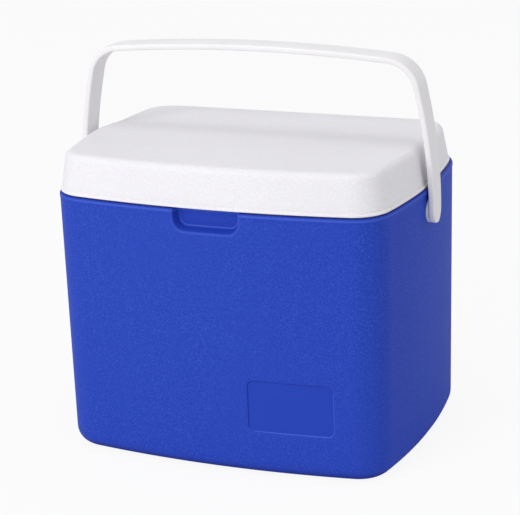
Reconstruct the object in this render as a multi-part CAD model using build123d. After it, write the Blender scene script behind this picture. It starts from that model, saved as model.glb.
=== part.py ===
"""Vaccine carrier: an insulated box with a lift-off lid and a swinging bail handle.

Millimetres. The origin is on the ground under the middle of the box, +Z is up and the front faces -Y.
Left and right are as seen from the front, so right is +X.
"""
from build123d import *
from math import asin, cos, radians, sin, tan
import os

os.makedirs("parts", exist_ok=True)

# Body outline at the rim, seen from above: bowed front and sides, flat back
half_width = 170.0
half_depth = 134.0
side_radius = 570.0
front_radius = 920.0
widest_y = 10.0
front_corner = 36.0
rear_corner = 64.0

# Body heights, walls and draft
rim_z = 250.0
body_draft = 1.5
shell_wall = 3.0
base_fillet = 16.0
rim_fillet = 2.2
flange_top_z = 247.0
liner_wall = 2.2
cavity_inset = 30.0
cavity_draft = 3.0
cavity_floor_z = 30.0
cavity_front_corner = 20.0
cavity_rear_corner = 24.0
cavity_floor_fillet = 8.0

# Finger recess in the middle of the front, under the lid's edge
finger_width = 62.0
finger_floor_z = 230.0
finger_depth = 10.0
finger_corner = 11.0
finger_back_fillet = 3.0

# Bare label recess, low on the right of the front
label_size = (80.0, 49.0)
label_centre = (74.0, 69.0)
label_corner = 6.0
label_depth = 0.8

# Handle: one strap, two tongues with studs
pivot_y = -8.0
pivot_z = 229.0
strap = 6.3
strap_width = 26.6
tongue_width = 24.0
crown = 0.7
strap_edge = 1.2
widening_height = 100.0
tongue_x = 177.4
arm_bend_z = 230.0
arm_bend_radius = 480.0
arm_lean = 12.0
bail_corner_radius = 34.5
bar_radius = 1560.0
bar_end_slope = 4.9
stud_radius = 6.0
stud_fit = 0.05
stud_tip_x = 156.8

# Pivot bushes: blind flanged sockets in the shell's sides
bush_radius = 9.0
bush_flange_radius = 11.8
bush_flange_x = (168.4, 170.8)
bush_end_x = 154.0
bush_end_wall = 1.8
bush_bore_depth = 12.0
seat_gap = 0.1

# Lid
lid_bottom_z = 251.0
lid_inset = 2.2
lid_lip = 0.8
lid_lip_height = 2.2
lid_wall = 2.5
lid_side_slope = 7.2
lid_end_slope = 6.0
lid_slope_top_z = 292.0
lid_front_z = 288.0
lid_middle_z = 284.5
lid_roll_y = 82.0
lid_roll_radius = 155.0
lid_edge_z = 273.0
step_start_y = -12.0
step_length = 50.0
shoulder_y = -20.0
shoulder_length = 22.0
shoulder_foot = 1.5
shoulder_head = 2.4
lid_fillet = 7.0
lid_plate = 2.0
lid_end_reach = 20.0
plug_gap = 3.0
plug_bottom_z = 232.0
plug_fillet = 3.0
gasket_insets = (21.0, 27.0)
gasket_corners = ((22.0, 40.0), (16.0, 34.0))

# Filling holes and their plugs
base_hole_radius = 11.0
base_plug_flange = 17.0
base_plug_recess = 1.6
lid_hole_radius = 8.0
lid_plug_flange = 11.0
filler_plug_thickness = 1.2
filler_plug_stem = 4.0

# Coolant packs of 0.4 litre, and the pad that fills the room between them and the lid's plug
pack_width = 94.0
pack_height = 155.0
pack_thickness = 34.0
pack_round = 9.0
pack_front_gap = 5.5
pack_rear_gap = 1.0
pack_side_gap = 4.5
pack_gap = 1.0
grip_levels = (0.3, 0.7)
grip_radius = 40.0
grip_depth = 1.5
grip_width = 56.4
neck_radius = 9.0
neck_height = 3.0
neck_x = 23.5
cap_radius = 12.0
cap_height = 4.0
cap_edge = 1.2
pad_inset = 37.0
pad_gap = 0.4
slit_length = 14.0
slit_width = 1.0
slit_depth = 15.0
slit_rows = (-45.0, 0.0, 45.0)
slit_columns = (-90.0, -45.0, 0.0, 45.0, 90.0)

# How far cutting shapes run past what they cut, and joined shapes into each other
overrun = 5.0
overlap = 1.0


def outline(inset, corners=(front_corner, rear_corner), side_extra=0.0, end_extra=0.0):
    """The body's outline moved inwards by inset, and further in at its sides or ends."""
    wide = half_width - inset - side_extra
    deep = half_depth - inset - end_extra
    side = side_radius - inset
    front = front_radius - inset
    back_slab = 600.0
    blank = Pos(wide - side, widest_y) * Circle(side)
    blank &= Pos(side - wide, widest_y) * Circle(side)
    blank &= Pos(0, front - deep) * Circle(front)
    blank &= Pos(0, deep - back_slab / 2) * Rectangle(back_slab, back_slab)
    ordered = blank.vertices().sort_by(Axis.Y)
    blank = fillet(ordered[:2], corners[0])
    return fillet(blank.vertices().sort_by(Axis.Y)[-2:], corners[1])


def inset_corners(inset):
    return front_corner - inset, rear_corner - inset


def drafted(low_z, high_z, inset, draft_per_mm, corners=None):
    """A block with the body's outline, inset at the rim and drafted towards the base."""
    low = inset + draft_per_mm * (rim_z - low_z)
    high = inset + draft_per_mm * (rim_z - high_z)
    low_face = Pos(0, 0, low_z) * outline(low, corners or inset_corners(low))
    high_face = Pos(0, 0, high_z) * outline(high, corners or inset_corners(high))
    return loft([low_face, high_face], ruled=True)


def straight(low_z, high_z, inset, corners=None):
    return Pos(0, 0, low_z) * extrude(outline(inset, corners or inset_corners(inset)), high_z - low_z)


def bottom_edges(solid):
    return solid.faces().sort_by(Axis.Z)[0].edges()


def across(radius, x_near, x_far):
    """A cylinder along X at the pivot, between two distances from the middle plane."""
    length = x_far - x_near
    return Pos((x_near + x_far) / 2, pivot_y, pivot_z) * Rot(0, 90, 0) * Cylinder(radius, length)


def both_sides(solid):
    return solid + mirror(solid, Plane.YZ)


def finger_block(grow):
    """The finger recess as a block, or, grown by the wall, the pocket that the shell forms round it."""
    width = finger_width + 2 * grow
    floor_z = finger_floor_z - grow
    top_z = rim_z + overrun
    profile = Plane.XZ * Pos(0, (floor_z + top_z) / 2) * Rectangle(width, top_z - floor_z)
    profile = fillet(profile.vertices().group_by(Axis.Z)[0], finger_corner + grow)
    back_y = finger_depth + grow - half_depth
    block = Pos(0, back_y, 0) * extrude(profile, finger_depth + grow + overrun, dir=(0, -1, 0))
    back_face = block.faces().sort_by(Axis.Y)[-1]
    back_edges = back_face.edges().sort_by(Axis.Z)[:-1]
    return fillet(back_edges, finger_back_fillet + grow)


def cavity(grow):
    """The liner's inside, or its outside when grown by the wall."""
    slope = cavity_draft / (rim_z - cavity_floor_z)
    corners = (cavity_front_corner + grow, cavity_rear_corner + grow)
    block = drafted(cavity_floor_z - grow, rim_z, cavity_inset - grow, slope, corners)
    return fillet(bottom_edges(block), cavity_floor_fillet + grow)


draft = body_draft / rim_z
shell_void = drafted(shell_wall, rim_z, shell_wall, draft)
shell_void = fillet(bottom_edges(shell_void), base_fillet - shell_wall)
flange_low_z = flange_top_z - liner_wall


def make_outer_shell():
    outer = drafted(0.0, rim_z, 0.0, draft)
    outer = fillet(bottom_edges(outer), base_fillet)
    outer = fillet(outer.faces().sort_by(Axis.Z)[-1].edges(), rim_fillet)
    shell = outer - shell_void
    shell += finger_block(shell_wall) & drafted(shell_wall, rim_z, shell_wall, draft)
    shell -= finger_block(0.0)
    label = Plane.XZ * Pos(*label_centre) * RectangleRounded(*label_size, label_corner)
    floor = drafted(0.0, rim_z, label_depth, draft)
    shell -= extrude(label, half_depth + overrun, dir=(0, -1, 0)) - floor
    shell -= both_sides(across(bush_flange_radius + seat_gap, bush_flange_x[0], half_width + 2))
    shell -= both_sides(across(bush_radius + seat_gap, half_width - bush_bore_depth, half_width))
    shell -= Cylinder(base_hole_radius, 4 * shell_wall)
    shell -= Cylinder(base_plug_flange + seat_gap, 2 * base_plug_recess)
    return shell


def make_inner_liner():
    flange = straight(flange_low_z, flange_top_z, shell_wall + seat_gap)
    notch = finger_block(shell_wall + seat_gap)
    tub = cavity(liner_wall) & straight(0.0, flange_top_z, 0.0)
    return (tub + (flange - notch)) - cavity(0.0)


def make_body_insulation():
    foam = shell_void & straight(0.0, flange_low_z, 0.0)
    foam -= cavity(liner_wall)
    foam -= finger_block(shell_wall)
    foam -= both_sides(across(bush_radius + seat_gap, bush_end_x - seat_gap, half_width))
    return foam - Cylinder(base_hole_radius, 2 * (shell_wall + filler_plug_stem))


def make_pivot_bush(side):
    bush = across(bush_flange_radius, *bush_flange_x)
    bush += across(bush_radius, bush_end_x, bush_flange_x[0] + overlap)
    bush -= across(stud_radius + stud_fit, bush_end_x + bush_end_wall, half_width + overrun)
    return bush if side > 0 else mirror(bush, Plane.YZ)


def make_filler_plug(hole_radius, flange_radius):
    """A button with its flange below z = 0 and its stem above."""
    stem = Cylinder(hole_radius - seat_gap, filler_plug_stem, align=(Align.CENTER, Align.CENTER, Align.MIN))
    flange = Pos(0, 0, -filler_plug_thickness / 2) * Cylinder(flange_radius, filler_plug_thickness)
    return stem + flange


def make_handle():
    """A flat crowned strap swept round the bail, with rounded tongues and inward studs."""
    middle_x = tongue_x - strap / 2
    bend = arm_bend_radius - strap / 2
    corner = bail_corner_radius - strap / 2
    bar = bar_radius - strap / 2
    foot_z = pivot_z - tongue_width / 2
    lean = radians(arm_lean)
    slope = radians(bar_end_slope)
    bend_end = Vector(middle_x - bend * (1 - cos(lean)), 0, arm_bend_z + bend * sin(lean))
    bar_end_x = bar * sin(slope)
    corner_x = bar_end_x + corner * (cos(lean) - sin(slope))
    straight_rise = (bend_end.X - corner_x) / tan(lean)
    corner_z = bend_end.Z + straight_rise
    bar_end_z = corner_z + corner * (cos(slope) - sin(lean))
    bar_top_z = bar_end_z + bar * (1 - cos(slope))
    half_lean = lean / 2
    bend_middle = (middle_x - bend * (1 - cos(half_lean)), 0, arm_bend_z + bend * sin(half_lean))
    corner_centre = (corner_x - corner * cos(lean), corner_z - corner * sin(lean))
    half_turn = (lean + radians(90) - slope) / 2
    corner_middle = (
        corner_centre[0] + corner * cos(half_turn), 0, corner_centre[1] + corner * sin(half_turn))
    foot = (middle_x, 0, foot_z)
    bend_start = (middle_x, 0, arm_bend_z)
    corner_start = (corner_x, 0, corner_z)
    bar_end = (bar_end_x, 0, bar_end_z)
    bar_far_end = (-bar_end_x, 0, bar_end_z)
    arm = Line(foot, bend_start)
    arm += ThreePointArc(bend_start, bend_middle, tuple(bend_end))
    arm += Line(tuple(bend_end), corner_start)
    arm += ThreePointArc(corner_start, corner_middle, bar_end)
    far_arm = mirror(arm, Plane.YZ)
    path = Wire(arm.edges() + [ThreePointArc(bar_end, (0, 0, bar_top_z), bar_far_end)] + far_arm.edges())
    half = strap / 2
    wide = strap_width / 2
    section = Plane(origin=foot, x_dir=(1, 0, 0), z_dir=(0, 0, 1)) * make_face(Polyline(
        (-half, -wide), (half - crown, -wide), (half, 0), (half - crown, wide), (-half, wide), close=True))
    section = fillet(section.vertices(), strap_edge)
    bail = Pos(0, pivot_y, 0) * sweep(section, path=path)
    widening_z = pivot_z + widening_height
    tongue = tongue_width / 2
    side_view = Plane.YZ * Pos(pivot_y, 0) * (make_face(Polyline(
        (-tongue, pivot_z), (-wide, widening_z), (-wide, 2 * pivot_z), (wide, 2 * pivot_z),
        (wide, widening_z), (tongue, pivot_z), close=True)) + Pos(0, pivot_z) * Circle(tongue))
    bail &= extrude(side_view, 2 * half_width, both=True)
    return bail + both_sides(across(stud_radius, stud_tip_x, middle_x))


def lid_top(lower):
    """Everything under the lid's top surface: high front part, S-shaped step, rear part that rolls down."""
    front_z = lid_front_z - lower
    middle_z = lid_middle_z - lower
    front_y = -half_depth - overrun
    rear_y = half_depth + overrun
    drop = lid_front_z - lid_middle_z
    roll_reach = rear_y - lid_roll_y
    rear_z = middle_z - lid_roll_radius + (lid_roll_radius ** 2 - roll_reach ** 2) ** 0.5
    end_y = step_start_y + step_length
    middle = (step_start_y + step_length / 2, front_z - drop / 2)
    turn = 2 * asin(drop / (step_length ** 2 + drop ** 2) ** 0.5)
    arc = step_length / 2 / sin(turn)
    first = (step_start_y + arc * sin(turn / 2), front_z - arc * (1 - cos(turn / 2)))
    last = (end_y - arc * sin(turn / 2), middle_z + arc * (1 - cos(turn / 2)))
    line = Line((front_y, front_z), (step_start_y, front_z))
    line += ThreePointArc((step_start_y, front_z), first, middle)
    line += ThreePointArc(middle, last, (end_y, middle_z))
    line += Line((end_y, middle_z), (lid_roll_y, middle_z))
    line += TangentArc((lid_roll_y, middle_z), (rear_y, rear_z), tangent=(1, 0))
    line += Polyline((rear_y, rear_z), (rear_y, plug_bottom_z), (front_y, plug_bottom_z), (front_y, front_z))
    return extrude(Plane.YZ * make_face(line), half_width + overrun, both=True)


def lid_form(inset, lower, side_low, side_high):
    """A lid without shoulders: sloping walls, stepped top and rounded upper edge."""
    low_inset = lid_inset + inset
    low = outline(low_inset, inset_corners(low_inset), side_low, 0.0)
    high = outline(low_inset, inset_corners(low_inset + lid_end_slope), side_high, lid_end_slope)
    form = loft([Pos(0, 0, lid_bottom_z) * low, Pos(0, 0, lid_slope_top_z) * high], ruled=True)
    form &= lid_top(lower)
    upper = [e for e in form.edges() if e.center().Z > lid_edge_z - lower]
    end_y = half_depth - lid_end_reach
    rounded = [e for e in upper if abs(e.center().X) > overlap or abs(e.center().Y) > end_y]
    return fillet(rounded, lid_fillet - inset)


def side_x(wide, side, y):
    """Where a side arc with this reach and radius lies at this y."""
    return wide - side + (side ** 2 - (y - widest_y) ** 2) ** 0.5


def shoulder_plan(inset, slope, shoulder):
    """Everything in front of the shoulders at one height: each side runs in behind shoulder_y."""
    reach = half_width - lid_inset - inset - slope
    side = side_radius - lid_inset - inset
    end_y = shoulder_y + shoulder_length
    start_x = side_x(reach, side, shoulder_y)
    end_x = side_x(reach - shoulder, side, end_y)
    run = (start_x - end_x) / shoulder_length
    front_y = -half_depth - overrun
    rear_y = end_y + shoulder_length
    front_x = start_x + run * (shoulder_y - front_y)
    rear_x = end_x - run * (rear_y - end_y)
    return make_face(Polyline(
        (-front_x, front_y), (front_x, front_y), (rear_x, rear_y), (-rear_x, rear_y), close=True))


def lid_block(inset, lower):
    """The lid's outer form, or its hollow when inset and lowered by the wall."""
    wide = lid_form(inset, lower, 0.0, lid_side_slope)
    narrow = lid_form(inset, lower, shoulder_foot, lid_side_slope + shoulder_head)
    low = Pos(0, 0, lid_bottom_z) * shoulder_plan(inset, 0.0, shoulder_foot)
    high = Pos(0, 0, lid_slope_top_z) * shoulder_plan(inset, lid_side_slope, shoulder_head)
    return (wide & loft([low, high], ruled=True)) + narrow


lid_hollow = lid_block(lid_wall, lid_wall)
plug_inset = cavity_inset + plug_gap
plug_corners = (cavity_front_corner - plug_gap, cavity_rear_corner - plug_gap)


def make_lid_cover():
    lip_inset = lid_inset - lid_lip
    lip = outline(lip_inset, inset_corners(lip_inset)) & shoulder_plan(-lid_lip, 0.0, shoulder_foot)
    lip += outline(lip_inset, inset_corners(lip_inset), shoulder_foot)
    cover = lid_block(0.0, 0.0) + Pos(0, 0, lid_bottom_z) * extrude(lip, lid_lip_height)
    return cover - lid_hollow


def make_lid_liner():
    plate = lid_hollow & straight(lid_bottom_z, lid_bottom_z + lid_plate, 0.0)
    plug = straight(plug_bottom_z, lid_bottom_z + lid_plate, plug_inset, plug_corners)
    inner_corners = (plug_corners[0] - lid_plate, plug_corners[1] - lid_plate)
    core_levels = (plug_bottom_z + lid_plate, lid_bottom_z + lid_plate)
    core = straight(*core_levels, plug_inset + lid_plate, inner_corners)
    liner = (plate + fillet(bottom_edges(plug), plug_fillet)) - core
    return liner - Pos(0, 0, plug_bottom_z) * Cylinder(lid_hole_radius, 4 * lid_plate)


def make_lid_insulation():
    foam = lid_hollow - straight(0.0, lid_bottom_z + lid_plate, 0.0)
    inner_corners = (plug_corners[0] - lid_plate, plug_corners[1] - lid_plate)
    core_levels = (plug_bottom_z + lid_plate, lid_bottom_z + lid_plate)
    foam += straight(*core_levels, plug_inset + lid_plate, inner_corners)
    return foam - Pos(0, 0, plug_bottom_z) * Cylinder(lid_hole_radius, 2 * filler_plug_stem)


def make_lid_gasket():
    outer, inner = (
        straight(flange_top_z, lid_bottom_z, inset, corners)
        for inset, corners in zip(gasket_insets, gasket_corners))
    return outer - inner


def make_ice_pack():
    """A flat bottle standing on edge, its filling neck near one end of the top."""
    body = Box(pack_width, pack_thickness, pack_height, align=(Align.CENTER, Align.CENTER, Align.MIN))
    body = fillet(body.edges(), pack_round)
    hollow_y = pack_thickness / 2 + grip_radius - grip_depth
    for side in (-1, 1):
        for level in grip_levels:
            hollow = Pos(0, side * hollow_y, pack_height * level) * Rot(0, 90, 0)
            body -= hollow * Cylinder(grip_radius, grip_width)
    neck = Cylinder(neck_radius, neck_height + overlap, align=(Align.CENTER, Align.CENTER, Align.MIN))
    return body + Pos(neck_x, 0, pack_height - overlap) * neck


def make_ice_pack_cap():
    middle_z = pack_height + neck_height + cap_height / 2
    cap = Pos(neck_x, 0, middle_z) * Cylinder(cap_radius, cap_height)
    return fillet(cap.edges().sort_by(Axis.Z)[-1], cap_edge)


def make_foam_pad():
    """The pad under the lid's plug, with crossed slits for vials and room for the filler plug."""
    pad = straight(pad_bottom_z, plug_bottom_z, pad_inset, (cavity_front_corner, cavity_rear_corner))
    pocket_depth = filler_plug_thickness + pad_gap
    pad -= Pos(0, 0, plug_bottom_z) * Cylinder(lid_plug_flange + overlap, 2 * pocket_depth)
    slit = Box(slit_length, slit_width, slit_depth, align=(Align.CENTER, Align.CENTER, Align.MAX))
    for row in slit_rows:
        for column in slit_columns:
            for turn in (45, 135):
                pad -= Pos(column, row, plug_bottom_z) * Rot(0, 0, turn) * slit
    return pad


# Where each coolant pack stands on the liner's floor: x, y, turn about Z
pack_reach = cavity_inset + cavity_draft + pack_thickness / 2
pack_front_y = -half_depth + pack_reach + pack_front_gap
pack_rear_y = half_depth - pack_reach - pack_rear_gap
pack_side_x = half_width - pack_reach - pack_side_gap
pack_side_y = (pack_front_y + pack_rear_y) / 2
pack_places = {
    "front_left": (-(pack_width + pack_gap) / 2, pack_front_y, 0),
    "front_right": ((pack_width + pack_gap) / 2, pack_front_y, 0),
    "rear_left": (-(pack_width + pack_gap) / 2, pack_rear_y, 0),
    "rear_right": ((pack_width + pack_gap) / 2, pack_rear_y, 0),
    "left": (-pack_side_x, pack_side_y, 90),
    "right": (pack_side_x, pack_side_y, 90),
}
pad_bottom_z = cavity_floor_z + pack_height + neck_height + cap_height + pad_gap

base_plug_place = Pos(0, 0, base_plug_recess)
lid_plug_place = Pos(0, 0, plug_bottom_z)

parts = {
    "outer_shell": make_outer_shell(),
    "body_insulation": make_body_insulation(),
    "inner_liner": make_inner_liner(),
    "base_fill_plug": base_plug_place * make_filler_plug(base_hole_radius, base_plug_flange),
    "pivot_bush_left": make_pivot_bush(-1),
    "pivot_bush_right": make_pivot_bush(1),
    "handle": make_handle(),
    "lid_cover": make_lid_cover(),
    "lid_insulation": make_lid_insulation(),
    "lid_liner": make_lid_liner(),
    "lid_gasket": make_lid_gasket(),
    "lid_fill_plug": lid_plug_place * make_filler_plug(lid_hole_radius, lid_plug_flange),
    "foam_pad": make_foam_pad(),
}
pack = make_ice_pack()
pack_cap = make_ice_pack_cap()
for place, (x, y, turn) in pack_places.items():
    stand = Pos(x, y, cavity_floor_z) * Rot(0, 0, turn)
    parts[f"ice_pack_{place}"] = stand * pack
    parts[f"ice_pack_cap_{place}"] = stand * pack_cap

for name, solid in parts.items():
    export_step(solid, f"parts/{name}.step")
    print(name, len(solid.solids()), round(solid.volume / 1000, 1), "cm3")
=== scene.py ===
import bpy
import math
from mathutils import Matrix, Vector


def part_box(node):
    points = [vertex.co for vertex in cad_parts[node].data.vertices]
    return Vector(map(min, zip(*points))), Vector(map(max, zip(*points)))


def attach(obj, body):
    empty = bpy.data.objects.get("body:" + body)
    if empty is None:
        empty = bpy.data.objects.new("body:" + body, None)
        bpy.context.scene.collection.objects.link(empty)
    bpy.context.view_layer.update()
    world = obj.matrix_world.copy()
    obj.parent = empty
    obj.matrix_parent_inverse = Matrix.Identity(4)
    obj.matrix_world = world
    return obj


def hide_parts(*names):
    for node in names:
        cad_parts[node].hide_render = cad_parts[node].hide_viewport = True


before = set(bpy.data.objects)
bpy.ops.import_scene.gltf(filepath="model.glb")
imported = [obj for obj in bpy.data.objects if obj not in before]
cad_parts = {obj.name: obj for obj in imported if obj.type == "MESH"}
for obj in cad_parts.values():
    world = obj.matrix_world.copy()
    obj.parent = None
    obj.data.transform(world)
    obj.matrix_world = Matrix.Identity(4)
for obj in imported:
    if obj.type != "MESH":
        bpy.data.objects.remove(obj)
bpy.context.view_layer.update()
mm = 0.001
print("frame loaded:", len(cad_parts), "nodes")


def clamp(value, low=0.0, high=1.0):
    return max(low, min(high, value))


def ease(value):
    value = clamp(value)
    return value * value * (3 - 2 * value)


def spread(low, high, steps):
    return [low + (high - low) * step / steps for step in range(steps + 1)]


class Skin:
    # gathers points in millimetres and quads, then turns them into one smooth-shaded object
    def __init__(self):
        self.points = []
        self.faces = []

    def point(self, x, y, z):
        self.points.append((x * mm, y * mm, z * mm))
        return len(self.points) - 1

    def ring(self, points):
        return [self.point(*p) for p in points]

    def strip(self, first, second, closed=True):
        count = len(first)
        for i in range(count if closed else count - 1):
            j = (i + 1) % count
            self.faces.append((first[i], first[j], second[j], second[i]))

    def stack(self, rings, closed=True):
        for lower, upper in zip(rings, rings[1:]):
            self.strip(lower, upper, closed)

    def fillOutline(self, ring, stops, heightAt):
        # quads across a plan outline, between the middles of its four corners
        count = len(ring)
        half = count // 2
        front = len(stops["front"]) - 1 + stops["frontEnd"] + stops["frontCorner"] // 2
        rear = stops["rear"] + stops["rearCorner"] // 2
        near = [ring[i % count] for i in range(-front, front + 1)]
        right = [ring[i] for i in range(front, half - rear + 1)]
        far = [ring[i] for i in range(half - rear, half + rear + 1)][::-1]
        left = [ring[i] for i in range(half + rear, count - front + 1)][::-1]

        def flat(vertex):
            return Vector(self.points[vertex][:2]) / mm

        rows = [near]
        for i in range(1, len(right) - 1):
            v = i / (len(right) - 1)
            row = [left[i]]
            for j in range(1, 2 * front):
                u = j / (2 * front)
                p = flat(near[j]) * (1 - v) + flat(far[j]) * v
                p = p + flat(left[i]) * (1 - u) + flat(right[i]) * u
                p -= (flat(near[0]) * (1 - u) + flat(near[-1]) * u) * (1 - v)
                p -= (flat(far[0]) * (1 - u) + flat(far[-1]) * u) * v
                row.append(self.point(p.x, p.y, heightAt(p)))
            row.append(right[i])
            rows.append(row)
        rows.append(far)
        self.stack(rows, closed=False)

    def finish(self, name, material, creaseAngle=None):
        # points inside a hole have no face and are left out
        used = sorted({vertex for face in self.faces for vertex in face})
        places = {vertex: place for place, vertex in enumerate(used)}
        faces = [[places[vertex] for vertex in face] for face in self.faces]
        mesh = bpy.data.meshes.new(name)
        mesh.from_pydata([self.points[vertex] for vertex in used], [], faces)
        mesh.validate()
        mesh.shade_smooth()
        if creaseAngle:
            mesh.set_sharp_from_angle(angle=math.radians(creaseAngle))
        mesh.materials.append(material)
        piece = bpy.data.objects.new(name, mesh)
        bpy.context.scene.collection.objects.link(piece)
        return piece


# Plan of the box, shared by the shell, the lid and the pad: bowed front and sides, straight back
plan = dict(
    halfWidth=170.0, halfDepth=134.0, sideRadius=570.0, frontRadius=920.0, widestY=10.0,
    frontCorner=36.0, rearCorner=64.0,
)


def planHalf(inset, corners, sideExtra, endExtra, stops):
    # from the middle of the front round the right side to the middle of the back
    wide = plan["halfWidth"] - inset - sideExtra
    deep = plan["halfDepth"] - inset - endExtra
    side = plan["sideRadius"] - inset
    front = plan["frontRadius"] - inset
    frontRound, rearRound = corners
    sideMiddle = Vector((wide - side, plan["widestY"]))
    frontMiddle = Vector((0.0, front - deep))
    # the front corner's centre is its own radius inside both arcs
    apart = frontMiddle - sideMiddle
    reachSide, reachFront = side - frontRound, front - frontRound
    along = (reachSide ** 2 - reachFront ** 2 + apart.length_squared) / (2 * apart.length)
    across = math.sqrt(reachSide ** 2 - along ** 2)
    course = apart.normalized()
    frontCentre = sideMiddle + course * along + Vector((course.y, -course.x)) * across
    rearY = deep - rearRound
    rearX = sideMiddle.x + math.sqrt((side - rearRound) ** 2 - (rearY - sideMiddle.y) ** 2)
    rearCentre = Vector((rearX, rearY))

    def heading(centre, target):
        return math.atan2(target.y - centre.y, target.x - centre.x)

    def arc(centre, radius, angles):
        return [centre + radius * Vector((math.cos(a), math.sin(a))) for a in angles]

    frontTurn = heading(frontMiddle, frontCentre)
    sideTurn = heading(sideMiddle, frontCentre)
    rearTurn = heading(sideMiddle, rearCentre)
    frontXs = stops["front"] + spread(stops["front"][-1], front * math.cos(frontTurn), stops["frontEnd"])[1:]
    before, sideYs, after = stops["side"]
    sideAngles = [math.asin((y - sideMiddle.y) / side) for y in sideYs]
    sideAngles = spread(sideTurn, sideAngles[0], before)[1:] + sideAngles[1:]
    sideAngles += spread(sideAngles[-1], rearTurn, after)[1:]
    points = [Vector((x, frontMiddle.y - math.sqrt(front ** 2 - x ** 2))) for x in frontXs]
    points += arc(frontCentre, frontRound, spread(frontTurn, sideTurn, stops["frontCorner"])[1:])
    points += arc(sideMiddle, side, sideAngles)
    points += arc(rearCentre, rearRound, spread(rearTurn, math.pi / 2, stops["rearCorner"])[1:])
    points += [Vector((x, deep)) for x in spread(rearX, 0.0, stops["rear"])[1:]]
    return points


def planOutline(inset, stops, sideExtra=0.0, endExtra=0.0, cornerCut=0.0, corners=None):
    # closed and anticlockwise from above, starting at the middle of the front
    corners = corners or (plan["frontCorner"] - inset - cornerCut, plan["rearCorner"] - inset - cornerCut)
    half = planHalf(inset, corners, sideExtra, endExtra, stops)
    return half + [Vector((-p.x, p.y)) for p in half[-2:0:-1]]


def outwards(points):
    count = len(points)
    result = []
    for i in range(count):
        run = points[(i + 1) % count] - points[i - 1]
        result.append(Vector((run.y, -run.x)).normalized())
    return result


class Wire:
    # a node's output; arithmetic on it adds Math nodes
    def __init__(self, graph, socket):
        self.graph = graph
        self.socket = socket

    def maths(self, operation, first, second=None):
        values = {0: first}
        if second is not None:
            values[1] = second
        return self.graph.node("ShaderNodeMath", dict(operation=operation), values)

    def __add__(self, other):
        return self.maths("ADD", self, other)

    __radd__ = __add__

    def __sub__(self, other):
        return self.maths("SUBTRACT", self, other)

    def __rsub__(self, other):
        return self.maths("SUBTRACT", other, self)

    def __mul__(self, other):
        return self.maths("MULTIPLY", self, other)

    __rmul__ = __mul__

    def __truediv__(self, other):
        return self.maths("DIVIDE", self, other)

    def __rtruediv__(self, other):
        return self.maths("DIVIDE", other, self)

    def size(self):
        return self.maths("ABSOLUTE", self)

    def root(self):
        return self.maths("SQRT", self)

    def least(self, other):
        return self.maths("MINIMUM", self, other)

    def most(self, other):
        return self.maths("MAXIMUM", self, other)

    def between(self, low, high):
        # 0 on low's side, 1 on high's side, smooth from one to the other
        return self.graph.node(
            "ShaderNodeMapRange", dict(interpolation_type="SMOOTHSTEP"),
            {"Value": self, "From Min": low, "From Max": high})


class Graph:
    # the nodes of a material or of the world
    def __init__(self, owner):
        owner.use_nodes = True
        self.tree = owner.node_tree
        self.tree.nodes.clear()

    def node(self, kind, settings, sockets, output=0):
        made = self.tree.nodes.new(kind)
        for key, value in settings.items():
            setattr(made, key, value)
        for key, value in sockets.items():
            if isinstance(value, Wire):
                self.tree.links.new(value.socket, made.inputs[key])
            else:
                made.inputs[key].default_value = value
        return Wire(self, made.outputs[output]) if made.outputs else None


class Finish(Graph):
    # one material with its Principled shader
    def __init__(self, name, **constants):
        self.material = bpy.data.materials.new(name)
        super().__init__(self.material)
        values = {socket.replace("_", " "): value for socket, value in constants.items()}
        self.surface = self.node("ShaderNodeBsdfPrincipled", {}, values)
        self.node("ShaderNodeOutputMaterial", {}, {"Surface": self.surface})
        self.place = self.node("ShaderNodeTexCoord", {}, {}, "Object")
        parts = self.node("ShaderNodeSeparateXYZ", {}, {0: self.place}).socket.node
        self.x, self.y, self.z = (Wire(self, output) for output in parts.outputs)

    def noise(self, scale, detail, roughness):
        return self.node(
            "ShaderNodeTexNoise", {},
            {"Vector": self.place, "Scale": scale, "Detail": detail, "Roughness": roughness})

    def cells(self, scale, smoothness=None):
        sockets = {"Vector": self.place, "Scale": scale}
        if smoothness is None:
            return self.node("ShaderNodeTexVoronoi", dict(feature="F1"), sockets)
        sockets["Smoothness"] = smoothness
        return self.node("ShaderNodeTexVoronoi", dict(feature="SMOOTH_F1"), sockets)

    def blendColor(self, factor, first, second):
        # a Mix node's inputs 6 and 7 and output 2 are its colours
        return self.node(
            "ShaderNodeMix", dict(data_type="RGBA"), {"Factor": factor, 6: first, 7: second}, 2)

    def bump(self, height, strength, distance):
        return self.node("ShaderNodeBump", {}, {"Height": height, "Strength": strength, "Distance": distance})

    def feed(self, **links):
        shader = self.surface.socket.node
        for socket, wire in links.items():
            self.tree.links.new(wire.socket, shader.inputs[socket.replace("_", " ")])
        return self.material


def rgb(red, green, blue):
    return (red, green, blue, 1.0)


# The moulded leather grain on shell and lid: pebbles of about 1.5 mm with finer pits between them.
# In the finishes a noise is (scale, detail, roughness), or the last two where its scale follows another's.
# A line or edge is (place, half width), any other pair a smooth step's start and end. Lengths are in metres.
grain = dict(
    pebbles=640.0, pebbleSmoothness=0.6, pits=(1500.0, 3.0, 0.6), sparks=(900.0, 2.0, 0.7),
    patches=(9.0, 3.0, 0.55))


def pebbleGrain(finish):
    pebbles = finish.cells(grain["pebbles"], grain["pebbleSmoothness"])
    pits = finish.noise(*grain["pits"])
    sparks = finish.noise(*grain["sparks"])
    patches = finish.noise(*grain["patches"])
    return pebbles, pits, sparks, patches


moulded = dict(
    cloudScale=0.12, cloudNoise=(3.0, 0.55), fineNoise=(2.0, 0.6), clouds=(0.3, 0.75), fineRough=0.1,
    cloudRough=0.05, cloudHeight=0.5, bump=0.4)


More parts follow.
